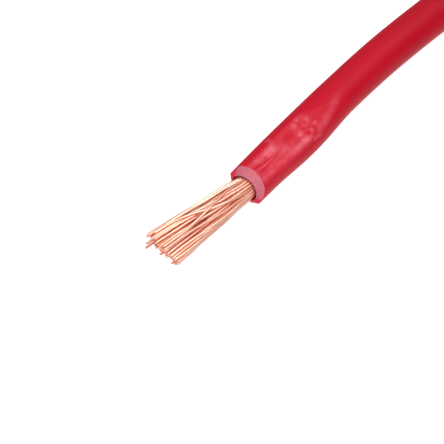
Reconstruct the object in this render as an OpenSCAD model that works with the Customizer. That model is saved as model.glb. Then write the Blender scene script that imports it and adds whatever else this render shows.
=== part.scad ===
// Wire spool: single-core flexible copper wire, red PVC insulation, 56 bare strands at the stripped end.
// Two snap-on flanges, a barrel and an arbor sleeve carry the winding. The free end lies on the table.
// Millimetres, +Z up. The origin is the bottom centre of the spool, which lies on its lower flange.

/* [Wire] */
// Outside diameter of the insulation
wire_d = 4.2; // [4:0.05:4.2]
// Diameter of the hole in the insulation that the conductor fills
bore_d = 2.66; // [2.66:0.01:2.72]
// Diameter of one copper strand
strand_d = 0.285; // [0.25:0.005:0.285]
// Layers of wire on the barrel
layers = 5; // [4:1:5]
// Rows of wire along the barrel that show on the outside
rows = 10; // [8:1:10]

/* [Stripped end] */
// Length of bare strands in front of the insulation
strip_len = 12; // [8:0.5:14]
// How much wider the bunch is at its tips than at the insulation
splay = 1.6; // [1:0.05:1.65]
// Turn of the strands about the bunch's own axis over the bare length, in degrees
lay_twist = 18; // [0:1:25]
// Sideways bend of the bunch away from the insulation's line, in degrees
bunch_yaw = -6; // [-8:0.5:8]
// Upward bend of the bunch, in degrees
bunch_rise = 2.5; // [2:0.5:6]
// Straight length of insulation behind the cut
end_len = 8; // [6:0.5:8]
// Depth of the conductor modelled inside the insulation
bore_depth = 4; // [2:0.5:5]
// How far the cut's inner edge stands in front of its outer edge
cut_lip = 0.8; // [0:0.1:1]

/* [Spool] */
// Diameter of the flanges
flange_d = 100; // [96:1:102]
// Overall thickness of a flange
flange_t = 3.5; // [3:0.1:4]
// Thickness of a flange's flat web
web_t = 2.5; // [2:0.1:2.6]
// Width over both flanges
spool_w = 52; // [50:1:56]
// Outside diameter of the barrel
barrel_d = 44; // [43:0.5:44]
// Wall of the barrel
barrel_wall = 1.8; // [1.6:0.1:2]
// Diameter of the arbor bore, for a 16 mm spindle
arbor_d = 16.4; // [16.2:0.1:17]
// Wall of the arbor sleeve
sleeve_wall = 2.2; // [1.8:0.1:2.6]
// Number of ribs, and of view holes, on a flange
rib_count = 6; // [4:1:8]
// Diameter of a view hole
view_hole_d = 10; // [6:1:12]

/* [Hidden] */
$fn = 96;
fit_gap = 0.05;                        // clearance between pieces that are pushed together
wire_r = wire_d / 2;
face_rise = flange_t - web_t;          // how far ribs, rim and hub stand out of the web
lower_face_z = flange_t;               // inner face of the lower flange
upper_face_z = spool_w - flange_t;     // inner face of the upper flange

// Hub, sleeve and barrel
sleeve_r = arbor_d / 2 + sleeve_wall;
hub_hole_r = sleeve_r + fit_gap;
hub_boss_r = hub_hole_r + 3.6;
barrel_r = barrel_d / 2;
barrel_in_r = barrel_r - barrel_wall;
bore_chamfer = 0.6;

// Winding: each layer's centre line stands one wire diameter outside the last
first_layer_r = barrel_r + wire_r;
last_layer_r = first_layer_r + (layers - 1) * wire_d;
low_row_z = lower_face_z + wire_r + fit_gap;
high_row_z = upper_face_z - wire_r - fit_gap;
row_pitch = (high_row_z - low_row_z) / (rows - 1);
lead_angle = 150;                      // where the wire leaves the winding
lead_gap_span = 60;                    // empty stretch of the lowest row behind that point

// Rim, ribs and holes of a flange
rim_edge_r = flange_t / 2;
rim_in_r = flange_d / 2 - 3.2;
rib_w = 2.2;
view_hole_at_r = 34;
start_hole_d = wire_d + 2.8;           // wide enough for the wire to bend in it
start_hole_r = first_layer_r + 0.7;
start_hole_turn = 5;                   // degrees from the wire's end towards its first turn
start_angle = 330;                     // where the wire's inner end comes up through the upper flange

// Spigot and snap hooks that hold a flange in the barrel
hook_count = 3;
spigot_r = barrel_in_r - fit_gap;
spigot_wall = 1.6;
spigot_h = 4;
hook_reach = 1.4;
hook_inset = 0.1;
hook_top = 8.8;                        // above the flange's inner face
hook_step = 6.2;                       // height of the hook's catching edge
hook_span = 16;                        // degrees
slot_span = hook_span + 2;

// Free lead: x and y, and the height as a share of the drop from the winding to the table
ROUTE = [
    [-39.2,  13.4, 1],
    [-42.7,   6.2, 1],
    [-45.8,  -1.2, 1],
    [-48.5,  -8.7, 1],
    [-50.9, -16.3, 0.93],
    [-52.9, -24.1, 0.74],
    [-54.5, -31.9, 0.48],
    [-55.7, -39.8, 0.23],
    [-56.4, -47.8, 0.05],
    [-56.8, -55.8, 0],
    [-56.8, -62.8, 0],
    [-56.4, -69.8, 0],
    [-55.6, -77.7, 0]
];
lead_sides = 12;
end_heading = 275;                     // plan direction of the stripped end, from +X

// Strands stand in rings, each as tight as its count and the ring inside it allow
RING_COUNTS = [4, 10, 17, 25];
knuckle_d = strand_d * 1.03;           // ball that closes the bend of a strand at the insulation
strand_pitch = strand_d + 0.01;
first_single_ring = 2;                 // rings from here outwards have one node for each strand
single_count = RING_COUNTS[2] + RING_COUNTS[3];
length_spread = 0.45;
tail_len = flange_t + fit_gap + 5;     // inner end of the wire, from the winding to its cut
tail_bore_depth = 3;

function strand_name(i) = str("strand_", i < 10 ? "0" : "", i);

red_pvc = [0.78, 0.15, 0.21];
copper = [0.86, 0.57, 0.43];
spool_plastic = [0.20, 0.21, 0.23];
sleeve_plastic = [0.42, 0.44, 0.46];

// ---- Geometry helpers ----

function unit(v) = v / norm(v);
function plan_dir(angle) = [cos(angle), sin(angle), 0];

// Radius of ring k's centre line
function ring_r(k) = k == 0
    ? strand_pitch / (2 * sin(180 / RING_COUNTS[0]))
    : max(strand_pitch / (2 * sin(180 / RING_COUNTS[k])), ring_r(k - 1) + strand_pitch);

// Place of strand j of ring k across the conductor
function strand_xy(k, j, turn = 0) =
    let (a = 360 * j / RING_COUNTS[k] + 23 * k + turn) ring_r(k) * [cos(a), sin(a)];

// Strands are cut by hand, so their lengths differ a little
function strand_len(k, j) = strip_len + length_spread * sin(67 * j + 140 * k);

// Lead: true points, tangents and rings
lead_start = [last_layer_r * cos(lead_angle), last_layer_r * sin(lead_angle), low_row_z];
LEAD = concat(
    [lead_start],
    [for (p = ROUTE) [p.x, p.y, wire_r + p.z * (low_row_z - wire_r)]]
);
last_point = len(LEAD) - 1;
lead_end = LEAD[last_point];
function lead_tangent(i) =
    i == 0 ? plan_dir(lead_angle + 90) :
    i == last_point ? plan_dir(end_heading) :
    unit(LEAD[i + 1] - LEAD[i - 1]);
function ring_points(i) =
    let (
        t = lead_tangent(i),
        side = unit(cross(t, [0, 0, 1])),
        up = cross(side, t)
    )
    [
        for (j = [0 : lead_sides - 1])
            let (a = 360 * j / lead_sides)
            LEAD[i] + wire_r * (cos(a) * side + sin(a) * up)
    ];

module swept_tube() {
    points = [for (i = [0 : last_point]) each ring_points(i)];
    n = lead_sides;
    first_cap = [[for (j = [0 : n - 1]) j]];
    last_cap = [[for (j = [n - 1 : -1 : 0]) last_point * n + j]];
    wall = [
        for (i = [0 : last_point - 1], j = [0 : n - 1])
            let (k = (j + 1) % n)
            [i * n + j, (i + 1) * n + j, (i + 1) * n + k, i * n + k]
    ];
    polyhedron(points, concat(first_cap, wall, last_cap));
}

// Stands its children at the start of the straight end, with +Z along the wire and +X down
module at_wire_end() {
    translate(lead_end) rotate([0, 0, end_heading]) rotate([0, 90, 0]) children();
}

// Straight round rod between two points
module rod(a, b, d) {
    v = b - a;
    translate(a)
        rotate([0, acos(v.z / norm(v)), atan2(v.y, v.x)])
            cylinder(h = norm(v), d = d, $fn = 24);
}

// One strand: straight in the insulation, then splayed with the bunch
module strand(k, j) {
    inside = strand_xy(k, j);
    bare = strand_len(k, j);
    spread = splay * strand_xy(k, j, lay_twist);
    foot = [inside.x, inside.y, end_len - bore_depth];
    bend = [inside.x, inside.y, end_len];
    tip = [spread.x - bare * tan(bunch_rise), spread.y + bare * tan(bunch_yaw), end_len + bare];
    color(copper) at_wire_end() {
        rod(foot, bend, strand_d);
        translate(bend) sphere(d = knuckle_d, $fn = 24);
        rod(bend, tip, strand_d);
    }
}

// Tube with a blind hole in its top end, whose edge is cut at a slope
module cut_tube(length, depth, lip) {
    rotate_extrude()
        polygon([
            [0, 0],
            [wire_r, 0],
            [wire_r, length - lip],
            [bore_d / 2, length],
            [bore_d / 2, length - depth],
            [0, length - depth]
        ]);
}

// ---- Spool ----

// Half section of a flange, outer face at z = 0 and inner face at z = flange_t
module flange_profile() {
    translate([hub_hole_r, face_rise]) square([flange_d / 2 - rim_edge_r - hub_hole_r, web_t]);
    translate([rim_in_r, 0]) square([flange_d / 2 - rim_edge_r - rim_in_r, flange_t]);
    translate([flange_d / 2 - rim_edge_r, rim_edge_r]) circle(r = rim_edge_r);
    translate([hub_hole_r, 0]) square([hub_boss_r - hub_hole_r, flange_t]);
    translate([spigot_r - spigot_wall, face_rise]) square([spigot_wall, web_t + spigot_h]);
}

// Springy finger on the spigot, a little thinner than its wall, with a ramped catch
module snap_hook() {
    back_r = spigot_r - spigot_wall + hook_inset;
    front_r = spigot_r - hook_inset;
    rotate_extrude(angle = hook_span)
        translate([0, flange_t])
            polygon([
                [back_r, spigot_h - 1],
                [front_r, spigot_h - 1],
                [front_r, hook_step],
                [spigot_r + hook_reach, hook_step],
                [front_r, hook_top],
                [back_r, hook_top]
            ]);
}

module flange() {
    difference() {
        union() {
            rotate_extrude() flange_profile();
            for (i = [0 : rib_count - 1])
                rotate([0, 0, i * 360 / rib_count])
                    translate([hub_boss_r - 1, -rib_w / 2, 0])
                        cube([rim_in_r - hub_boss_r + 2, rib_w, face_rise + 0.5]);
            for (i = [0 : hook_count - 1])
                rotate([0, 0, i * 360 / hook_count - hook_span / 2]) snap_hook();
        }
        for (i = [0 : rib_count - 1])
            rotate([0, 0, (i + 0.5) * 360 / rib_count])
                translate([view_hole_at_r, 0, -1]) cylinder(h = flange_t + 2, d = view_hole_d);
    }
}

module flange_lower() {
    color(spool_plastic) flange();
}

module flange_upper() {
    color(spool_plastic)
        difference() {
            translate([0, 0, spool_w]) mirror([0, 0, 1]) flange();
            rotate([0, 0, start_angle + start_hole_turn])
                translate([start_hole_r, 0, upper_face_z - 1])
                    cylinder(h = flange_t + 2, d = start_hole_d);
        }
}

// Ring with a square section
module ring(inner_r, wall, height, angle = 360) {
    rotate_extrude(angle = angle) translate([inner_r, 0]) square([wall, height]);
}

module barrel() {
    slot_h = hook_top - hook_step + 2 * fit_gap;
    low_slot_z = lower_face_z + hook_step - fit_gap;
    high_slot_z = spool_w - low_slot_z - slot_h;
    color(sleeve_plastic)
        difference() {
            translate([0, 0, lower_face_z]) ring(barrel_in_r, barrel_wall, upper_face_z - lower_face_z);
            for (i = [0 : hook_count - 1], z = [low_slot_z, high_slot_z])
                rotate([0, 0, i * 360 / hook_count - slot_span / 2])
                    translate([0, 0, z]) ring(barrel_in_r - 0.5, barrel_wall + 1, slot_h, slot_span);
        }
}

module arbor_sleeve() {
    color(sleeve_plastic)
        rotate_extrude()
            polygon([
                [arbor_d / 2 + bore_chamfer, 0],
                [sleeve_r, 0],
                [sleeve_r, spool_w],
                [arbor_d / 2 + bore_chamfer, spool_w],
                [arbor_d / 2, spool_w - bore_chamfer],
                [arbor_d / 2, bore_chamfer]
            ]);
}

// ---- Wire ----

// Outer shape of all the turns, without the stretch that the lead has left
module wire_winding() {
    color(red_pvc)
        difference() {
            rotate_extrude() {
                translate([barrel_r + fit_gap, lower_face_z + fit_gap])
                    square([last_layer_r - barrel_r - fit_gap, upper_face_z - lower_face_z - 2 * fit_gap]);
                for (i = [0 : rows - 1])
                    translate([last_layer_r, low_row_z + i * row_pitch]) circle(r = wire_r);
            }
            rotate([0, 0, lead_angle])
                translate([0, 0, lower_face_z - 1])
                    ring(last_layer_r - wire_r, wire_d + 2, wire_d + 1.2, lead_gap_span);
        }
}

module wire_lead() {
    color(red_pvc) swept_tube();
}

module insulation_end() {
    color(red_pvc) at_wire_end() cut_tube(end_len, bore_depth, cut_lip);
}

module conductor_core_strands() {
    for (j = [0 : RING_COUNTS[0] - 1]) strand(0, j);
}

module conductor_inner_strands() {
    for (j = [0 : RING_COUNTS[1] - 1]) strand(1, j);
}

// Strand number i counts through the middle ring, then through the outer ring
module single_strand(i) {
    middle = RING_COUNTS[first_single_ring];
    if (i <= middle) strand(first_single_ring, i - 1);
    else strand(first_single_ring + 1, i - 1 - middle);
}

// Inner end of the wire, standing out of the upper flange
module at_tail() {
    rotate([0, 0, start_angle]) translate([first_layer_r, 0, upper_face_z - fit_gap]) children();
}

module start_tail() {
    color(red_pvc) at_tail() cut_tube(tail_len, tail_bore_depth, 0);
}

module tail_strands() {
    color(copper)
        at_tail()
            translate([0, 0, tail_len - tail_bore_depth])
                for (k = [0 : len(RING_COUNTS) - 1], j = [0 : RING_COUNTS[k] - 1])
                    translate(strand_xy(k, j)) cylinder(h = tail_bore_depth, d = strand_d, $fn = 24);
}

flange_lower();
flange_upper();
barrel();
arbor_sleeve();
wire_winding();
wire_lead();
insulation_end();
conductor_core_strands();
conductor_inner_strands();
for (i = [1 : single_count])
    single_strand(i);
start_tail();
tail_strands();
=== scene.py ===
# %% [markdown]
# # A spool of stripped wire
# The real object is ten metres of flexible copper wire in red PVC, wound on a small plastic spool.
# The spool's flanges, barrel and sleeve are rigid mouldings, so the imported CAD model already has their
# shape. Blender gives them a finish. The wire is soft and detailed, so it is built here as meshes that
# stand for the plain CAD solids: the winding, the loose end, and its 56 bare strands.
# Sizes are worked out in millimetres, as a wire maker would give them, and each mesh is scaled to metres
# as it is made, in the same frame as the CAD.

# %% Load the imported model
import math

import bpy
import numpy as np
from mathutils import Matrix, Vector


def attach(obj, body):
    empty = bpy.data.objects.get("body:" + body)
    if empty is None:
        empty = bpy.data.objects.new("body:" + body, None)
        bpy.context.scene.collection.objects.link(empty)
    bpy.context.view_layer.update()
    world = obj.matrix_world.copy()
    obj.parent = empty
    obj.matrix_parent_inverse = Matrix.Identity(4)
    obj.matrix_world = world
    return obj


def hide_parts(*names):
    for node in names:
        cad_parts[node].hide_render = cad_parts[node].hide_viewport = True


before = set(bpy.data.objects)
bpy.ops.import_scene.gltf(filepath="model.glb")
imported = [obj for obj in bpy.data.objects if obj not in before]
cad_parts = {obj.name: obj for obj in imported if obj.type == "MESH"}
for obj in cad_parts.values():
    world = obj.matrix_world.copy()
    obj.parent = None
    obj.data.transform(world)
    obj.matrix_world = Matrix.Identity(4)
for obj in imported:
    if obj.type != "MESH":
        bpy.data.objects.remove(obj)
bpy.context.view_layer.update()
MM = 0.001

# %% [markdown]
# ## Camera
# The view is a close one of the wire's end, with the spool outside it. An orthographic camera would show
# no perspective at all, and a short lens would make the strands look huge. A long lens a third of a
# metre away keeps the strands in proportion. The camera looks 50 degrees down, just beyond the cut.

# %% Place the camera
CUT = np.array([-54.9, -85.67, 2.1])        # centre of the insulation's cut end, mm
LOOK_AT = CUT + [1.3, -4.8, 0.0]
AZIMUTH, ELEVATION, DISTANCE = math.radians(43), math.radians(50), 330.0
towards_camera = np.array([
    math.sin(AZIMUTH) * math.cos(ELEVATION),
    -math.cos(AZIMUTH) * math.cos(ELEVATION),
    math.sin(ELEVATION),
])
lens = bpy.data.cameras.new("wire_end_lens")
lens.lens, lens.sensor_width = 267.57, 36.0
lens.clip_start, lens.clip_end = 0.01, 20.0
camera = bpy.data.objects.new("wire_end_camera", lens)
camera.matrix_world = (
    Matrix.Translation(Vector((LOOK_AT + DISTANCE * towards_camera) * MM))
    @ Vector(towards_camera).to_track_quat("Z", "Y").to_matrix().to_4x4()
)
bpy.context.scene.collection.objects.link(camera)
bpy.context.scene.camera = camera
print("camera at", [round(v, 3) for v in camera.location])

# %% [markdown]
# ## Tubes from rings
# Insulation and strands are all tubes along a path. Blender's curve bevel could make them, but it can't
# change the section along the way, and the insulation is pinched, cut and hollow at its end. So each
# tube is a list of rings of points, joined by quads. A ring may shrink and turn inwards, so the same
# list goes over the cut face and down into the bore, and the mesh is closed by one cap at either end.

# %% A tube is a stack of rings
def ring_mesh(name, stacks, facts=None, sharp=35):
    """stacks: one array of rings in mm for each tube. facts: values for every point. sharp: degrees."""
    points, faces, start = [], [], 0
    for rings in stacks:
        count, sides = rings.shape[:2]
        points.append(rings.reshape(-1, 3))
        here = start + np.arange(count * sides).reshape(count, sides)
        there = np.roll(here, -1, axis=1)
        quads = np.stack([here[:-1], there[:-1], there[1:], here[1:]], axis=-1)
        faces += quads.reshape(-1, 4).tolist()
        faces += [here[0][::-1].tolist(), here[-1].tolist()]
        start += count * sides
    mesh = bpy.data.meshes.new(name)
    mesh.from_pydata((np.concatenate(points) * MM).tolist(), [], faces)
    for fact, values in (facts or {}).items():
        values = np.asarray(values, dtype=np.float32)
        kind, key = ("FLOAT_VECTOR", "vector") if values.ndim == 2 else ("FLOAT", "value")
        mesh.attributes.new(fact, kind, "POINT").data.foreach_set(key, values.ravel())
    mesh.polygons.foreach_set("use_smooth", [True] * len(mesh.polygons))
    mesh.set_sharp_from_angle(angle=math.radians(sharp))
    piece = bpy.data.objects.new(name, mesh)
    bpy.context.scene.collection.objects.link(piece)
    return piece


print("a tube of n rings with k sides gets (n - 1) * k quads and 2 caps")

# %% Directions and lengths along a path
def unit(v):
    return v / np.linalg.norm(v, axis=-1, keepdims=True)


def tangents(path):
    return unit(np.gradient(path, axis=0))


def path_length(path):
    return np.concatenate([[0], np.cumsum(np.linalg.norm(np.diff(path, axis=0), axis=1))])


def resample(path, at):
    """Points of a path at the given lengths along it."""
    along = path_length(path)
    return np.stack([np.interp(at, along, path[:, k]) for k in range(3)], axis=1)


print("one metre of straight path measures", path_length(np.array([[0, 0, 0], [1000, 0, 0]]))[-1], "mm")

# %% [markdown]
# ## The winding
# The real wire starts at the top: its inner end comes up through a hole in the upper flange. Below the
# flange it bends into the first turn and travels down the barrel. At the far flange it climbs on top of
# itself and travels back, five layers in all, and leaves the last layer at the bottom.
# A screw modifier could wind one layer, but the climbs between layers would need hand joining. A loop
# over the angle gives radius and height at once, and the real wire is one length, so the mesh is too.

# %% Path of the wound wire
WIRE_R = 2.1
FIRST_LAYER_R, LAYER_STEP, LAYERS = 24.1, 4.2, 5
HIGH_ROW, LOW_ROW = 46.35, 5.65
TAIL_ANGLE, TAIL_TOP, TAIL_BEND_R = 330.0, 57.0, 8.4
CLIMB = 45.0                                # degrees of a turn that a climb to the next layer takes
bend_turn = math.degrees(TAIL_BEND_R / FIRST_LAYER_R)
layer_turn = (48.5 * 360 - bend_turn - (LAYERS - 1) * CLIMB) / LAYERS


def around(angle, radius, height):
    a = np.radians(angle)
    return np.stack([radius * np.cos(a), radius * np.sin(a), height + 0 * a], axis=-1)


def smooth_step(x):
    x = np.clip(x, 0, 1)
    return x * x * (3 - 2 * x)


def wound_path(step=6.0):
    """Radius and height follow the angle. A slow wobble runs through neighbouring turns alike."""
    angle = np.arange(0, LAYERS * layer_turn + (LAYERS - 1) * CLIMB + step / 2, step)
    layer = np.minimum(np.floor(angle / (layer_turn + CLIMB)), LAYERS - 1)
    inside = angle - layer * (layer_turn + CLIMB)
    travel = np.clip(inside / layer_turn, 0, 1)
    travel = np.where(layer % 2 == 0, 1 - travel, travel)
    climbed = smooth_step((inside - layer_turn) / CLIMB)
    radius = FIRST_LAYER_R + LAYER_STEP * (layer + climbed)
    height = LOW_ROW + (HIGH_ROW - LOW_ROW) * travel
    place = TAIL_ANGLE + bend_turn + angle
    wobble = 0.16 * np.sin(np.radians(2 * place + 40 * layer)) + 0.1 * np.sin(np.radians(3 * place + 75))
    fade = smooth_step((LAYERS * layer_turn + (LAYERS - 1) * CLIMB - angle) / 120)
    height = height + wobble * np.sin(np.pi * travel) * fade
    return around(place, radius, height)


def tail_path():
    """The inner end: straight down through the flange, then a bend into the first turn."""
    down = np.arange(TAIL_TOP, HIGH_ROW + TAIL_BEND_R + 0.4, -0.5)
    straight = around(np.full(len(down), TAIL_ANGLE), FIRST_LAYER_R, down)
    bend = np.radians(np.arange(0, 90, 6.0))
    turn = TAIL_ANGLE + np.degrees(TAIL_BEND_R * (1 - np.cos(bend)) / FIRST_LAYER_R)
    return np.concatenate([
        straight,
        around(turn, FIRST_LAYER_R, HIGH_ROW + TAIL_BEND_R * (1 - np.sin(bend))),
    ])


winding_path = np.concatenate([tail_path(), wound_path()])

# %% [markdown]
# Each ring of the tube has to stand square to the path. The direction away from the spool's axis is never
# along the wire, so it turns every ring the same way and the tube doesn't twist. The inner end is cut
# square, and its copper is one of the CAD's own pieces, so here it only needs a rim and a short bore.

# %% Sweep the winding
def straightened(sides, along, radius=WIRE_R):
    """Each point's place on the wire laid out straight, in mm, so that patterns follow every bend."""
    a = np.broadcast_to(2 * np.pi * np.arange(sides) / sides, along.shape)
    return np.stack([radius * np.cos(a), radius * np.sin(a), along], axis=-1).reshape(-1, 3)


def sweep_winding(sides=20):
    path = winding_path
    t = tangents(path)
    outward = path * [1, 1, 0]
    outward = unit(outward - t * np.sum(outward * t, axis=1, keepdims=True))
    up = np.cross(outward, t)
    a = 2 * np.pi * np.arange(sides) / sides
    spoke = np.cos(a)[None, :, None] * outward[:, None] + np.sin(a)[None, :, None] * up[:, None]
    rings = path[:, None] + WIRE_R * spoke
    along = path_length(path)
    # the inner end: distance behind the cut and radius of the bevel, the face and the bore
    mouth = [(0.0, 2.04), (0.0, 1.36), (0.08, 1.33), (3.0, 1.33)]
    top = np.stack([path[0] + t[0] * d + r * spoke[0] for d, r in mouth])
    rings[0] = path[0] + t[0] * 0.06 + WIRE_R * spoke[0]
    rings = np.concatenate([top[::-1], rings, (path[-1] + 0.6 * t[-1] + 1.9 * spoke[-1])[None]])
    along = np.concatenate([[m[0] for m in mouth][::-1], along, along[-1:] + 0.6])
    count = len(rings)
    local = straightened(sides, np.broadcast_to(along[:, None], (count, sides)))
    cut = np.zeros((count, sides))
    cut[1:4] = 1                            # from the bore's mouth to the rim
    facts = {"wire_mm": local, "cut_face": cut.ravel(), "whitened_and_painted_light": np.zeros(count * sides)}
    return ring_mesh("wound_wire", [rings], facts)


winding = sweep_winding()
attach(winding, "root")
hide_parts("wire_winding", "start_tail")
print("winding faces:", len(winding.data.polygons))

# %% [markdown]
# ## The loose end
# The wire leaves the lowest row, comes down over the flange's rim and lies on the table. PVC wire that was
# wound keeps a gentle bend, so the route is one long curve. It is drawn through listed points with a
# Catmull-Rom spline, which passes through every one of them.

# %% Path of the loose end
ROUTE = [                                   # x, y and height of the centre line, mm
    (-35.42, 20.45, 5.65), (-39.2, 13.4, 5.65), (-42.7, 6.2, 5.65), (-45.8, -1.2, 5.65),
    (-48.5, -8.7, 5.65), (-50.9, -16.3, 5.40), (-52.9, -24.1, 4.73), (-54.5, -31.9, 3.80),
    (-55.7, -39.8, 2.92), (-56.4, -47.8, 2.28), (-56.8, -55.8, 2.10), (-56.8, -62.8, 2.10),
    (-56.4, -69.8, 2.10), (-55.6, -77.7, 2.10), (-54.9, -85.67, 2.10),
]


def catmull_rom(points, pieces=24):
    p = np.array(points)
    p = np.concatenate([[2 * p[0] - p[1]], p, [2 * p[-1] - p[-2]]])
    u = np.linspace(0, 1, pieces, endpoint=False)[:, None]
    runs = []
    for a, b, c, d in zip(p, p[1:], p[2:], p[3:]):
        runs.append(0.5 * (2 * b + (c - a) * u + (2 * a - 5 * b + 4 * c - d) * u**2
                           + (3 * b - a - 3 * c + d) * u**3))
    return np.concatenate(runs + [p[-2:-1]])


fine_path = catmull_rom(ROUTE)
lead_length = path_length(fine_path)[-1]
print(f"loose end: {lead_length:.1f} mm from the winding to the cut")

# %% [markdown]
# ## Pinch, jaw edge and cut
# Insulation is stripped with pliers. The jaws hold it a centimetre behind the cut and leave a flat with a
# hard edge and tooth marks, and the wire bulges sideways there. A displacement texture could draw the
# marks, but the bulge changes the outline too. So the radius is a function of place, worked out point by
# point: `behind` is the distance behind the cut in mm, and `bearing` the angle round the wire in degrees
# from its near side, the side that faces up and outwards.

# %% Shape of the flat
JAW_EDGE = 8.55                             # mm behind the cut
FLAT_TURN = -8                              # bearing of the flat's middle


def bump_at(x, centre, half):
    """1 at the centre, falling smoothly to 0 at half each side."""
    return np.clip(1 - ((x - centre) / half) ** 2, 0, 1) ** 2


def flat_depth(behind):
    """How far the jaws pressed the flat in: deepest at the jaw's edge, fading on both sides."""
    pressed = 0.34 * smooth_step((behind - 0.9) / 1.6) + 0.14 * smooth_step((behind - 3) / 5)
    beyond = 0.20 * (1 - smooth_step((behind - 9.4) / 3.2))
    return pressed + (beyond - pressed) * smooth_step((behind - JAW_EDGE) / 0.3)


print(f"flat: {flat_depth(JAW_EDGE):.2f} mm deep at the jaws' edge")

# %% Tooth marks, creases and the squeezed radius
TOOTH_MARKS = [                             # behind, bearing, depth in mm
    (8.95, -36, 0.09), (9.0, -22, 0.08), (8.9, -9, 0.12), (8.9, 5, 0.09), (8.85, 20, 0.11),
    (9.35, 1, 0.08), (9.8, 9, 0.09), (9.8, 25, 0.09), (9.5, -31, 0.08), (9.2, 33, 0.09),
    (9.6, -14, 0.08), (10.1, -7, 0.07),
]
TOOTH_LONG, TOOTH_WIDE = 0.32, 8            # half length in mm and half width in degrees
CREASES = [                                 # behind, bearing, half length, half width, slant, depth
    (2.5, -18, 2.2, 5, 2.4, 0.050), (2.7, -3, 2.4, 4, -1.2, 0.045), (2.4, -48, 2.6, 5, 0.0, 0.04),
    (6.2, -30, 1.6, 6, 6.0, 0.035), (7.1, 4, 1.5, 5, 4.0, 0.035), (5.0, 12, 1.8, 5, -3.0, 0.03),
]
RIGHT_BULGE, LEFT_BULGE = 0.25, 0.17        # mm that the squeezed PVC stands out on either side
EDGE_SOFT = 0.10                            # mm over which flat and round side meet


def mark(behind, bearing, at, turned, long, wide, slant):
    """A soft spot in the skin: 1 in its middle, 0 outside; its axis slants by degrees per mm."""
    return bump_at(behind, at, long) * bump_at(bearing, turned + slant * (behind - at), wide)


def squeezed_radius(behind, bearing):
    """Radius of the insulation in mm."""
    turn = np.radians(bearing)
    right_bulge, left_bulge = bump_at(behind, 9.4, 6.8), bump_at(behind, 7.0, 11.0)
    r = WIRE_R + RIGHT_BULGE * right_bulge * np.maximum(np.sin(turn), 0) ** 3
    r = r + LEFT_BULGE * left_bulge * np.maximum(-np.sin(turn), 0) ** 3
    depth = flat_depth(behind)
    plane = (WIRE_R - depth) / np.maximum(np.cos(turn - math.radians(FLAT_TURN)), 0.2)
    soft = EDGE_SOFT * np.clip(depth / 0.2, 0, 1) + 1e-6
    blend = np.clip(soft - np.abs(r - plane), 0, None) / soft
    r = np.minimum(r, plane) - blend**2 * soft / 4
    for at, turned, deep in TOOTH_MARKS:
        r = r - deep * mark(behind, bearing, at, turned, TOOTH_LONG, TOOTH_WIDE, 0)
    for at, turned, long, wide, slant, deep in CREASES:
        r = r - deep * mark(behind, bearing, at, turned, long, wide, slant)
    return r


print("tooth marks:", len(TOOTH_MARKS), "creases:", len(CREASES))

# %% [markdown]
# Soft PVC turns pale where it was squeezed or stretched. The same list also paints light and shade round
# the jaw marks: the pale flat and the pale bands along its lower edge and on the ridge beyond the jaws are
# partly a painted sheen, and a negative amount is painted shade that takes the paleness out of a crease or
# a tooth dent. The pale places could be painted by hand as vertex colours, but then they would have to be
# matched to the marks by eye. A list of soft spots uses the same two measures as the shape, so each spot
# sits on its mark. The material reads the result as a value at every point.

# %% Where the squeeze whitened the insulation, with painted sheen and painted shade
PAINTED_LIGHT_AND_WHITENED_SPOTS = [                                # behind, bearing, half length, half width, slant, amount
    (4.3, -30, 1.3, 20, 0, 0.75), (2.6, -34, 2.6, 10, 0, 0.40), (2.3, -10, 1.9, 4.5, 2.2, 0.40),
    (2.5, -18, 2.0, 5, 2.4, -0.5), (2.7, -3, 2.2, 4, -1.2, -0.35), (7.0, -24, 1.4, 26, 0, -0.35),
    (5.6, -6, 0.8, 24, 0, 0.30), (8.25, -2, 0.55, 15, 0, 0.60), (8.1, 24, 1.2, 15, 0, 0.60),
    (8.4, -34, 0.45, 15, 0, 0.55), (6.4, 23, 3.4, 11, 1.5, 0.40), (2.0, 19, 2.4, 11, 0, 0.22),
    (9.9, -20, 0.4, 9, 0, 0.35), (10.25, 4, 0.45, 10, 0, 0.38), (9.35, 15, 0.3, 8, 0, 0.32),
    (9.2, 40, 0.6, 7, 0, 0.38), (9.9, 43, 0.6, 8, 0, 0.38), (11.0, 22, 1.6, 20, -5, 0.45),
    (12.8, 13, 2.8, 19, -7, 0.40), (5.2, -58, 0.5, 16, 0, 0.45), (9.2, -40, 0.6, 10, 0, 0.3),
    (8.95, -26, 0.25, 11, 0, -0.4), (8.9, -7, 0.22, 9, 0, -0.4), (8.85, 14, 0.24, 12, 0, -0.5),
    (9.85, 15, 0.26, 12, 0, -0.4), (9.35, 2, 0.5, 5, 0, -0.4), (9.35, 28, 0.5, 5, 0, -0.4),
]
# Pale under the whole flat and where the teeth sat: stress whitening, and on the flat partly a painted
# sheen.
FLAT_PALE, TEETH_PALE = 0.25, 0.30          # under the whole flat, and where the teeth sat


def whitening_and_painted_light(behind, bearing):
    """How pale the skin is: stress whitening, painted sheen and painted shade, as a base for the flat and
    single spots on it.
    """
    lower_edge = 27 + 1.2 * behind
    flat = smooth_step((bearing + 56) / 20) * (1 - smooth_step((bearing - lower_edge) / 8))
    under_jaws = smooth_step((behind - 0.2) / 0.8) * (1 - smooth_step((behind - 8.5) / 0.25))
    under_teeth = smooth_step((behind - 8.7) / 0.2) * (1 - smooth_step((behind - 9.7) / 1.0))
    pale = FLAT_PALE * flat * under_jaws + TEETH_PALE * flat * under_teeth
    for at, turned, long, wide, slant, amount in PAINTED_LIGHT_AND_WHITENED_SPOTS:
        pale = pale + amount * mark(behind, bearing, at, turned, long, wide, slant)
    return np.clip(pale, 0, 1)


print("pale spots:", len(PAINTED_LIGHT_AND_WHITENED_SPOTS))

# %% [markdown]
# The blades didn't meet the wire squarely, so the cut face leans back on the near side and its rim waves
# a little. A boolean with a tilted plane would give a dead flat face. Two tables say how far the outer
# and the inner rim lie back at a few bearings, and are read with soft steps in between.

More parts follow.
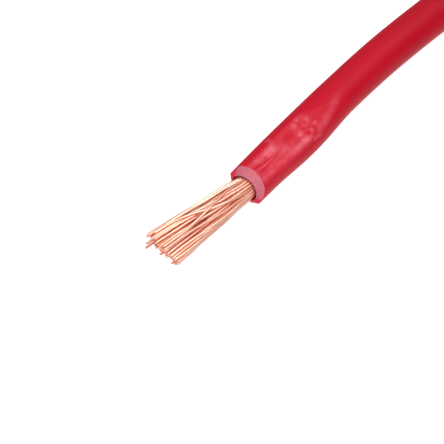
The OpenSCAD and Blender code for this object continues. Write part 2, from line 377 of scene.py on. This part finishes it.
# %% Shape of the cut
CUT_BEARINGS = [-180, -120, -92, -76, -52, -20, 7, 36, 74, 92, 120, 180]
OUTER_BACK = [0.45, 0.40, 0.22, 0.85, 1.00, 1.05, 0.97, 0.77, 0.27, 0.05, 0.32, 0.45]
INNER_BACK = [0.10, 0.02, -0.10, -0.06, 0.03, 0.10, 0.10, 0.04, -0.08, -0.15, 0.00, 0.10]


def smooth_table(bearing, values):
    """Reads a table round the wire with smooth steps, so that the outline has no corners."""
    a = np.array(CUT_BEARINGS, dtype=float)
    k = np.clip(np.searchsorted(a, bearing, side="right") - 1, 0, len(a) - 2)
    v = np.array(values)
    f = smooth_step((bearing - a[k]) / (a[k + 1] - a[k]))
    return v[k] + (v[k + 1] - v[k]) * f


print(f"cut face: leans back {max(OUTER_BACK) - max(INNER_BACK):.2f} mm over the wall")

# %% [markdown]
# The loose end is swept like the winding, with rings 0.1 mm apart where the jaws left their marks and
# wider ones where nothing happens. After the last ring the stack goes on over the rim, across the cut
# face and down into the bore, so the insulation has a real wall and the strands come out of a real hole.

# %% Rings of the cut face and the bore
NEAR_SIDE = 117.3                           # degrees round the section to the near side
ASIDE = np.array([-0.872, -0.061, 0.496])   # sideways, square to the wire and to the near side
BORE_AT = CUT + 0.08 * ASIDE                # the bore is a little off centre, as in most extrusions
FACE_STEPS = (0.03, 0.09, 0.2, 0.36, 0.52, 0.68, 0.83, 0.93, 0.98)  # from the outer rim to the inner
MOUTH_R = 1.52
BORE = ((1.50, 0.06), (1.44, 0.7))          # radius and depth: the blade left the mouth a little wider
BORE_END = (1.34, 4.0)                      # it closes round the strands, out of sight
FACE_CROWN = 0.07                           # mm that the middle of the wall stands forward


def mouth_rings(bearing, forward, spoke, edge_r):
    """Rings over the face and down the bore, how far back each point lies, and how much of the cut colour
    each point shows.
    """
    outer_back, inner_back = smooth_table(bearing, OUTER_BACK), smooth_table(bearing, INNER_BACK)
    # Painted shade: away from the blade the face turns from the light, and its pink fades back to the
    # skin's red.
    cut_colour_with_painted_shade = 1 - 0.9 * smooth_step((np.abs(bearing) - 62) / 26)   # far from the blade the skin smeared over
    rings, behind, cut = [], [], []
    for f in FACE_STEPS:
        radius = edge_r + (MOUTH_R - edge_r) * f
        middle = CUT + (BORE_AT - CUT) * f
        back = outer_back + (inner_back - outer_back) * f - FACE_CROWN * math.sin(math.pi * f) ** 0.6
        rings.append(middle - back[:, None] * forward + radius[:, None] * spoke)
        behind.append(back)
        cut.append(cut_colour_with_painted_shade)
    end_radius, end_depth = BORE_END
    depths = [(radius, inner_back + deeper) for radius, deeper in BORE]
    for radius, back in depths + [(end_radius, np.full(len(bearing), end_depth))]:
        rings.append(BORE_AT - back[:, None] * forward + radius * spoke)
        behind.append(back)
        cut.append(np.zeros(len(bearing)))
    return rings, behind, cut


print("rings over the cut face:", len(FACE_STEPS), "down the bore:", len(BORE) + 1)

# %% Sweep the loose end
SLANT_FADES = 3                             # mm behind the cut in which the rings turn square
PATTERN_START = 500                         # the surface pattern differs from the winding's first turns


def sweep_lead(sides=144):
    coarse = np.arange(lead_length, 32, -0.8)
    stations = np.concatenate([coarse, np.arange(32, 14, -0.4), np.arange(14, 0.05, -0.1), [0.0]])
    path = resample(fine_path, lead_length - stations)
    t = tangents(path)
    t[-3:] = t[-4]                          # the last rings share one direction, so the face is true
    side = unit(np.cross(t, [0, 0, 1]))
    up = np.cross(side, t)
    section = 360 * np.arange(sides) / sides
    bearing = (section - NEAR_SIDE + 180) % 360 - 180
    cosine, sine = np.cos(np.radians(section)), np.sin(np.radians(section))
    spoke = cosine[None, :, None] * side[:, None] + sine[None, :, None] * up[:, None]
    slant = smooth_table(bearing, OUTER_BACK)[None] * np.clip(1 - stations[:, None] / SLANT_FADES, 0, 1)
    behind = stations[:, None] + slant
    r = squeezed_radius(behind, np.broadcast_to(bearing, behind.shape))
    rings = path[:, None] + (stations[:, None] - behind)[..., None] * t[:, None] + r[..., None] * spoke
    face, face_behind, face_cut = mouth_rings(bearing, t[-1], spoke[-1], r[-1])
    rings = np.concatenate([rings, face])
    behind = np.concatenate([behind, face_behind])
    cut = np.concatenate([np.zeros(r.shape), face_cut])
    # the pale mix: stress whitening with painted sheen and painted shade, kept off the cut face
    whitened_and_painted_light = whitening_and_painted_light(behind, np.broadcast_to(bearing, behind.shape)) * (1 - cut)
    facts = {
        "wire_mm": straightened(sides, PATTERN_START - behind),
        "cut_face": cut.ravel(), "whitened_and_painted_light": whitened_and_painted_light.ravel(),
    }
    return ring_mesh("loose_wire_end", [rings], facts), path


lead, lead_path = sweep_lead()
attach(lead, "root")
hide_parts("wire_lead", "insulation_end")
print("loose end faces:", len(lead.data.polygons))

# %% [markdown]
# ## Bare strands
# The conductor is 56 drawn copper strands, laid in rings round a core and twisted a little. Freed from
# the insulation they spring apart, each its own way, but they never pass through each other. A hair
# system could scatter them, but hairs have no thickness and would cross. So every strand is a list of
# points, the points of neighbours push each other apart, and smoothing keeps each strand springy.

# %% Where the strands run
RING_COUNTS = [4, 10, 17, 25]
RING_RADII = [0.209, 0.504, 0.803, 1.177]
LAY_TURN = [4, 10, 18, 26]                  # degrees that a ring turns over its bare length
CROSSING = {39: -58, 35: 34}                # outer strands that spring over their neighbours: extra turn
STRAND_R = 0.1425
STEP = 0.3
BARE = 12.0
LANES = np.arange(-3.9, BARE + 1.21, STEP)  # stations along the bunch, from inside the bore
down, right = np.array([0, 0, -1.0]), np.array([math.cos(math.radians(5)), math.sin(math.radians(5)), 0])
ahead = np.array([math.cos(math.radians(275)), math.sin(math.radians(275)), 0])
SPLAY = 0.76                                # how much wider the bunch is at its tips
HOP = 0.30                                  # mm that a crossing strand rises over its neighbours
chance = np.random.default_rng(56)


def strand_lanes():
    """Across-the-bunch place of each strand at each station: strands, stations, 2."""
    free = np.clip(LANES / BARE, 0, None)
    lanes = []
    for ring, (count, radius) in enumerate(zip(RING_COUNTS, RING_RADII)):
        for j in range(count):
            a = 360 * j / count + 23 * ring
            over = CROSSING.get(len(lanes), 0)
            lay = LAY_TURN[ring] + chance.normal(0, 3 + 1.5 * ring) + over
            twist = np.radians(a + lay * smooth_step(free * 1.1))
            spread = radius * (1 + (SPLAY + chance.normal(0, 0.06)) * free**0.9)
            wave = chance.normal(0, 0.06, 2)[None] * np.sin(
                np.pi * free[:, None] * chance.uniform(1.0, 2.4) + chance.uniform(0, 0.4)
            ) * smooth_step(free * 6)[:, None]
            stray = chance.normal(0, 0.09, 2)[None] * free[:, None] ** 1.5
            spread = spread + (over != 0) * HOP * smooth_step(free * 5)
            lanes.append(np.stack([spread * np.cos(twist), spread * np.sin(twist)], 1) + wave + stray)
    return np.array(lanes)


wanted_lanes = strand_lanes()
print("lanes:", len(wanted_lanes), "with", len(LANES), "stations each")

# %% Push the strands apart
def push_apart(lanes, rounds=160, closing_rounds=25):
    """Strands push apart and stay springy; the closing rounds only push, so that none touch."""
    held = (LANES <= 0.0)                   # inside the insulation they can't move
    wanted, start = lanes.copy(), lanes.copy()
    gap = 2 * STRAND_R * (1.03 + 0.12 * np.clip(LANES / BARE, 0, 1))
    for turn in range(rounds):
        away = lanes[:, None] - lanes[None]
        far = np.linalg.norm(away, axis=-1)
        far[np.arange(len(lanes)), np.arange(len(lanes))] = 9    # a strand isn't its own neighbour
        short = np.clip(gap[None, None] - far, 0, None)
        push = away / np.maximum(far, 1e-6)[..., None] * short[..., None]
        lanes = lanes + 0.45 * np.sum(push, axis=1)
        if turn < rounds - closing_rounds:
            soft = lanes.copy()
            soft[:, 1:-1] = 0.5 * lanes[:, 1:-1] + 0.25 * (lanes[:, :-2] + lanes[:, 2:])
            lanes = soft + 0.01 * (wanted - soft)
        lanes[:, held] = start[:, held]
    return lanes


lanes = push_apart(wanted_lanes)
gaps = np.linalg.norm(lanes[:, None] - lanes[None], axis=-1) + 9 * np.eye(len(lanes))[..., None]
print(f"strands: {len(lanes)}, closest centres {gaps[:, :, LANES > 0].min():.3f} mm")

# %% [markdown]
# A strand is a thin tube on its lane. The whole bunch was bent a little as the insulation was pulled off,
# so every lane leans and bows by the same amount before it becomes a path. Nippers cut the strands one
# bite after another, so each has its own length and a slanting end, and a few are longer than the rest.

# %% Path and rings of one strand
RISE, YAW = math.tan(math.radians(2.5)), math.tan(math.radians(-6.4))   # how the bunch leans


def strand_path(lane, bare):
    """Centre line of one strand in mm, from inside the bore to its own cut length."""
    outside = np.clip(LANES, 0, None)
    lean = outside**2 / (outside + 1.2)     # the bend is in the first mm or two
    bow = 0.12 * np.clip(LANES / 2.5, 0, 1) * (1 - smooth_step((LANES - 2) / 3.5))
    points = (BORE_AT + LANES[:, None] * ahead + (lane[:, 0] - RISE * lean)[:, None] * down
              + (lane[:, 1] + YAW * lean)[:, None] * right + bow[:, None] * ASIDE)
    stops = np.append(np.arange(0, 3.9 + bare, 0.25), 3.9 + bare)
    return resample(points, stops)


def strand_rings(path, tilt, sides=12):
    """Rings of one strand. tilt: the direction in which its end slants."""
    t = tangents(path)
    side = unit(np.cross(t, down))
    up = np.cross(side, t)
    a = 2 * np.pi * np.arange(sides) / sides
    spoke = np.cos(a)[None, :, None] * side[:, None] + np.sin(a)[None, :, None] * up[:, None]
    rings = path[:, None] + STRAND_R * spoke
    # the nippers' slanting end, with a small bevel
    slant = (spoke[-1] @ tilt)[:, None] * 0.07 * t[-1]
    rings[-1] = path[-1] - 0.05 * t[-1] + slant + STRAND_R * spoke[-1]
    last = path[-1] + slant * 0.8 + 0.8 * STRAND_R * spoke[-1]
    return np.concatenate([rings, last[None]])


print(f"the bunch leans {RISE * BARE:.2f} mm up and {-YAW * BARE:.2f} mm aside over its length")

# %% Make the strands
LONG_ONES = {22: 0.65, 24: 1.1, 27: 0.5, 42: 0.2}   # mm longer: these missed the nippers' first bite
NEAR_DOWN, NEAR_RIGHT = -0.868, 0.496       # the near side's direction, across the bunch
names = (["conductor_core_strands"] * 4 + ["conductor_inner_strands"] * 10
         + [f"strand_{i:02d}" for i in range(1, 43)])
stacks = {}
for number, (name, lane) in enumerate(zip(names, lanes)):
    top_side = NEAR_DOWN * lane[-1, 0] + NEAR_RIGHT * lane[-1, 1]
    right_side = NEAR_RIGHT * lane[-1, 0] - NEAR_DOWN * lane[-1, 1]
    bare = BARE - 0.15 + 0.44 * top_side - 0.09 * right_side + chance.normal(0, 0.15)
    bare += LONG_ONES.get(number, 0)
    path = strand_path(lane, min(bare, BARE + 1.1))
    stacks.setdefault(name, []).append(strand_rings(path, unit(chance.normal(0, 1, 3))))
print("nodes with strands:", len(stacks), "strands:", sum(len(s) for s in stacks.values()))

# %% [markdown]
# The strands are part of the loose end. One mesh for all would hide which CAD strand is which, and a
# cord takes at most 24 pieces, so the single strands are joined two by two.

def strand_piece(name, nodes):
    rings = [r for node in nodes for r in stacks[node]]
    places = []
    for stack in rings:                     # each strand starts elsewhere in the surface pattern
        along = path_length(stack[:, 0])[:, None] + chance.uniform(0, 900)
        places.append(straightened(stack.shape[1], np.broadcast_to(along, stack.shape[:2]), STRAND_R))
    piece = ring_mesh(name, rings, {"wire_mm": np.concatenate(places)}, sharp=50)
    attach(piece, "root")
    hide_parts(*nodes)
    return piece


strands = [
    strand_piece("core_strands", ["conductor_core_strands"]),
    strand_piece("inner_strands", ["conductor_inner_strands"]),
]
for i in range(1, 43, 2):
    strands.append(strand_piece(f"strand_pair_{i:02d}", [f"strand_{i:02d}", f"strand_{i + 1:02d}"]))
print("strand pieces:", len(strands))

# %% [markdown]
# ## Materials
# Every finish here is procedural. Colours are written as sRGB hex, as a paint chart would give them, and
# one function turns them into the linear light that the shaders use. One more function adds a node.
# Some sockets share a name, so they are given by number: a Mix node has its factor at 0 and its colours
# at 6 and 7, and a Map Range has the range it reads at 1 and 2 and the range it gives at 3 and 4.

# %% Two helpers for materials
def linear(colour):
    """sRGB hex to linear RGBA."""
    parts = [int(colour[i:i + 2], 16) / 255 for i in (1, 3, 5)]
    return tuple(c / 12.92 if c <= 0.04045 else ((c + 0.055) / 1.055) ** 2.4 for c in parts) + (1.0,)


def add(tree, kind, inputs=None, **settings):
    """Adds one node. inputs gives a socket its value, or links it to another node's output."""
    made = tree.nodes.new("ShaderNode" + kind)
    for name, value in settings.items():
        setattr(made, name, value)
    for key, value in (inputs or {}).items():
        if isinstance(value, bpy.types.NodeSocket):
            tree.links.new(value, made.inputs[key])
        else:
            made.inputs[key].default_value = value
    return made


def new_material(name):
    material = bpy.data.materials.new(name)
    material.use_nodes = True
    tree = material.node_tree
    tree.nodes.clear()
    return material, tree


def finish_with(tree, shader):
    add(tree, "OutputMaterial", {"Surface": shader.outputs[0]})


print("paint chart white in linear light:", linear("#FFFFFF")[:3])

# %% [markdown]
# ### Extruded PVC
# Insulation is soft PVC, extruded hot over the strands. The die leaves it smooth with a satin gloss, and
# very faint lines run along it. Where the jaws squeezed it the plasticised PVC turns paler, which is
# called stress whitening, and the same pale mix carries painted light round the jaw marks: a painted sheen
# on the flat and its ridges, and painted shade in the creases and tooth dents. A cut face is matt and
# pinker, because the skin's gloss is gone; on its far side the pink fades back to red as painted shade.
# Its patterns are drawn on the straightened wire, so that the die lines follow every bend.

# %% Red PVC
def extruded_pvc():
    material, tree = new_material("red_extruded_pvc")
    place = add(tree, "Attribute", attribute_name="wire_mm").outputs["Vector"]
    cut = add(tree, "Attribute", attribute_name="cut_face").outputs["Fac"]
    whitened_and_painted_light = add(tree, "Attribute", attribute_name="whitened_and_painted_light").outputs["Fac"]
    # slow colour change in the extruded compound, about 6 mm apart
    cloud = add(tree, "TexNoise", {"Vector": place, "Scale": 0.16, "Detail": 3.0})
    body = add(tree, "Mix", {0: cloud.outputs["Fac"], 6: linear("#B10420"), 7: linear("#B90724")},
               data_type="RGBA")
    # stress whitening with painted sheen and painted shade round the jaw marks, uneven over 0.5 mm and
    # drawn out a little along the wire
    long_way = add(tree, "Mapping", {"Vector": place, "Scale": (1.0, 1.0, 0.6)})
    streak = add(tree, "TexNoise", {"Vector": long_way.outputs[0], "Scale": 1.9, "Detail": 4.0})
    pale = add(tree, "MapRange", {"Value": streak.outputs["Fac"], 1: 0.35, 2: 0.65, 3: 0.55, 4: 1.25})
    amount = add(tree, "Math", {0: pale.outputs[0], 1: whitened_and_painted_light}, operation="MULTIPLY")
    part = add(tree, "Math", {0: amount.outputs[0], 1: 0.75}, operation="MULTIPLY", use_clamp=True)
    skin = add(tree, "Mix", {0: part.outputs[0], 6: body.outputs[2], 7: linear("#D26675")},
               data_type="RGBA")
    # the blade leaves the cut face matt and a little uneven, over 0.3 mm
    solid = add(tree, "TexCoord").outputs["Object"]
    blade = add(tree, "Mapping", {"Vector": solid, "Scale": (1.0, 1.0, 0.3)})
    torn = add(tree, "TexNoise", {"Vector": blade.outputs[0], "Scale": 3300.0, "Detail": 3.0})
    face = add(tree, "Mix", {0: torn.outputs["Fac"], 6: linear("#9F4959"), 7: linear("#BC6975")},
               data_type="RGBA")
    # cut_face brings in the cut colour; on the far side of the face it is faded, which is painted shade.
    colour = add(tree, "Mix", {0: cut, 6: skin.outputs[2], 7: face.outputs[2]}, data_type="RGBA")
    # satin skin, duller where it is pinched or cut
    dull = add(tree, "Math", {0: whitened_and_painted_light, 1: cut}, operation="MAXIMUM")
    rough = add(tree, "MapRange", {"Value": dull.outputs[0], 3: 0.50, 4: 0.58})
    # skin texture of 0.12 mm, and die lines 0.33 mm apart
    grain = add(tree, "TexNoise", {"Vector": place, "Scale": 8.0, "Detail": 2.0})
    lines = add(tree, "Mapping", {"Vector": place, "Scale": (1.0, 1.0, 0.03)})
    die = add(tree, "TexNoise", {"Vector": lines.outputs[0], "Scale": 3.0, "Detail": 2.0})
    relief = add(tree, "Math", {0: grain.outputs["Fac"], 1: die.outputs["Fac"]}, operation="ADD")
    bump = add(tree, "Bump", {"Height": relief.outputs[0], "Strength": 0.12, "Distance": 0.00004})
    # soft PVC's skin is less glossy than its IOR alone would make it, so the specular level is low
    shader = add(tree, "BsdfPrincipled", {
        "Base Color": colour.outputs[2], "Roughness": rough.outputs[0], "IOR": 1.53,
        "Specular IOR Level": 0.17, "Normal": bump.outputs[0],
    })
    finish_with(tree, shader)
    return material


pvc = extruded_pvc()
for piece in (winding, lead):
    piece.data.materials.append(pvc)
print("made", pvc.name)

# %% [markdown]
# ### Drawn copper
# Strands are annealed copper, drawn through a die: bright, with a soft gloss and fine lines along them.
# The air has dulled some places to a warmer tone. Each bounce of light from strand to strand deepens
# copper's own colour, so the gaps between strands turn red without any painted shadow.

# %% Annealed copper
def drawn_copper():
    material, tree = new_material("drawn_annealed_copper")
    place = add(tree, "Attribute", attribute_name="wire_mm").outputs["Vector"]
    # a little tarnish in patches 1 mm long
    patch = add(tree, "Mapping", {"Vector": place, "Scale": (1.0, 1.0, 0.25)})
    tarnish = add(tree, "TexNoise", {"Vector": patch.outputs[0], "Scale": 3.0, "Detail": 3.0})
    share = add(tree, "MapRange", {"Value": tarnish.outputs["Fac"], 1: 0.42, 2: 0.75})
    colour = add(tree, "Mix", {0: share.outputs[0], 6: linear("#FFCCB7"), 7: linear("#FFB293")},
                 data_type="RGBA")
    rough = add(tree, "MapRange", {"Value": tarnish.outputs["Fac"], 1: 0.3, 2: 0.8, 3: 0.26, 4: 0.36})
    # draw marks: lines along the strand, 0.04 mm apart, coarser than real ones so that they show
    lines = add(tree, "Mapping", {"Vector": place, "Scale": (1.0, 1.0, 0.02)})
    draw = add(tree, "TexNoise", {"Vector": lines.outputs[0], "Scale": 25.0, "Detail": 1.0})
    bump = add(tree, "Bump", {"Height": draw.outputs["Fac"], "Strength": 0.12, "Distance": 0.000004})
    # a thin film of oxide takes a little of the metal's mirror away
    shader = add(tree, "BsdfPrincipled", {
        "Base Color": colour.outputs[2], "Metallic": 0.88, "Roughness": rough.outputs[0],
        "Normal": bump.outputs[0],
    })
    finish_with(tree, shader)
    return material


copper = drawn_copper()
for piece in strands:
    piece.data.materials.append(copper)
print("made", copper.name)

# %% [markdown]
# ### Moulded polystyrene
# Flanges, barrel and sleeve are impact-resistant polystyrene, injection moulded. The mould was spark
# eroded, which leaves an even fine grain of about 0.3 mm and a low gloss, and handling polishes it a
# little in patches.

# %% Polystyrene
def moulded_polystyrene(name, dark, light):
    material, tree = new_material(name)
    place = add(tree, "TexCoord").outputs["Object"]
    # patches of 17 mm that hands have polished, and the mould's grain of 0.3 mm
    patch = add(tree, "TexNoise", {"Vector": place, "Scale": 60.0, "Detail": 4.0})
    colour = add(tree, "Mix", {0: patch.outputs["Fac"], 6: linear(dark), 7: linear(light)},
                 data_type="RGBA")
    rough = add(tree, "MapRange", {"Value": patch.outputs["Fac"], 1: 0.3, 2: 0.7, 3: 0.42, 4: 0.56})
    grain = add(tree, "TexNoise", {"Vector": place, "Scale": 3300.0, "Detail": 2.0})
    bump = add(tree, "Bump", {"Height": grain.outputs["Fac"], "Strength": 0.35, "Distance": 0.00006})
    shader = add(tree, "BsdfPrincipled", {
        "Base Color": colour.outputs[2], "Roughness": rough.outputs[0], "IOR": 1.59,
        "Normal": bump.outputs[0],
    })
    finish_with(tree, shader)
    return material


flange_finish = moulded_polystyrene("charcoal_moulded_polystyrene", "#2B2D31", "#34373B")
core_finish = moulded_polystyrene("grey_moulded_polystyrene", "#7A7E82", "#878B8F")
FINISHES = {
    "flange_lower": flange_finish, "flange_upper": flange_finish, "barrel": core_finish,
    "arbor_sleeve": core_finish, "tail_strands": copper,
}
for name, finish in FINISHES.items():
    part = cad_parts[name]
    if not part.material_slots:
        part.data.materials.append(finish)
    for slot in part.material_slots:
        slot.material = finish
print("finished CAD pieces:", ", ".join(FINISHES))

# %% [markdown]
# ## Floor and light
# The wire lies on a light table, opal acrylic that glows from below, so the floor stays white and shadows
# all but vanish. The plane would show in the wire's gloss as a hard white edge, so reflections don't see
# it. They see the lower half of the sky instead, which is given the table's glow with a soft border.

# %% Light table
def opal_acrylic():
    material, tree = new_material("opal_acrylic_light_table")
    shader = add(tree, "BsdfPrincipled", {
        "Base Color": linear("#959595"), "Roughness": 0.9,
        "Emission Color": linear("#FFFFFF"), "Emission Strength": 0.9,
    })
    finish_with(tree, shader)
    return material


def light_table(half=3.0, top=-0.0002):
    """A square just below the wire, so that the two never share a plane."""
    mesh = bpy.data.meshes.new("light_table")
    corners = [(-half, -half, top), (half, -half, top), (half, half, top), (-half, half, top)]
    mesh.from_pydata(corners, [], [(0, 1, 2, 3)])
    mesh.materials.append(opal_acrylic())
    table = bpy.data.objects.new("light_table", mesh)
    table.visible_glossy = False
    bpy.context.scene.collection.objects.link(table)
    return table


print("made", light_table().name)

# %% [markdown]
# Light comes from three places. A white scrim hangs over the table in an otherwise dim room: its even
# glow lies on the top of the wire and the dim room darkens its sides, which shows that it is round. A
# white tent would be simpler, but it lights all sides alike and the red turns pale at the edges. One
# softbox from behind draws the bright lines on the strands, and a small box with a cloth grid in front
# fills in the cut face. The camera looks past the room at a plain white backdrop.

# %% Softboxes
def softbox(name, place, aim, size, watts, grid=180):
    """size in metres; grid: degrees of spread that the cloth grid in front of the box lets through."""
    lamp = bpy.data.lights.new(name, "AREA")
    lamp.shape, lamp.size, lamp.energy = "SQUARE", size, watts
    lamp.spread = math.radians(grid)
    box = bpy.data.objects.new(name, lamp)
    direction = Vector(aim) - Vector(place)
    box.matrix_world = (Matrix.Translation(Vector(place))
                        @ direction.to_track_quat("-Z", "Y").to_matrix().to_4x4())
    box.visible_camera = False
    bpy.context.scene.collection.objects.link(box)


softbox("back_softbox", (0.27, 0.32, 0.81), (-0.05, -0.08, 0.0), 0.60, 5.0)
softbox("near_key", (-0.033, -0.190, 0.098), (-0.055, -0.084, 0.0), 0.06, 0.016, grid=50)
print("softboxes: one large behind, one small and gridded in front")

# %% Overhead scrim
SCRIM_EDGE = (0.20, 0.40)                   # heights on the sky's unit sphere: the scrim's soft border
TABLE_EDGE = (-0.28, -0.55)                 # and the soft border of the table's glow


def overhead_scrim(scrim, room, table_glow):
    """Strengths of the cloth overhead, of the dim room, and of the table's glow in reflections."""
    world = bpy.data.worlds.new("overhead_scrim")
    world.use_nodes = True
    tree = world.node_tree
    tree.nodes.clear()
    height = add(tree, "SeparateXYZ", {0: add(tree, "TexCoord").outputs["Generated"]}).outputs["Z"]
    above = add(tree, "MapRange", {
        "Value": height, 1: SCRIM_EDGE[0], 2: SCRIM_EDGE[1], 3: room, 4: scrim,
    }, interpolation_type="SMOOTHSTEP")
    below = add(tree, "MapRange", {
        "Value": height, 1: TABLE_EDGE[0], 2: TABLE_EDGE[1], 3: 0.0, 4: table_glow,
    })
    glow = add(tree, "Math", {0: above.outputs[0], 1: below.outputs[0]}, operation="ADD")
    seen = add(tree, "LightPath").outputs["Is Camera Ray"]
    light = add(tree, "Background", {"Strength": glow.outputs[0]})
    backdrop = add(tree, "Background", {"Strength": 1.0, "Color": linear("#FFFFFF")})
    both = add(tree, "MixShader", {0: seen, 1: light.outputs[0], 2: backdrop.outputs[0]})
    add(tree, "OutputWorld", {"Surface": both.outputs[0]})
    bpy.context.scene.world = world


overhead_scrim(scrim=0.80, room=0.12, table_glow=1.30)
print("scrim glows above", SCRIM_EDGE[1], "and the room is dim below", SCRIM_EDGE[0])

# %% [markdown]
# Light bounces many times between strands before it gets out, and each lost bounce leaves a black gap, so
# the limit is raised. The Standard view shows white as white, where a film-like view would grey it.

# %% Bounces and view
BOUNCES = 24
bpy.context.scene.cycles.max_bounces = BOUNCES
bpy.context.scene.cycles.glossy_bounces = BOUNCES
bpy.context.scene.view_settings.view_transform = "Standard"
print("light bounces:", BOUNCES)
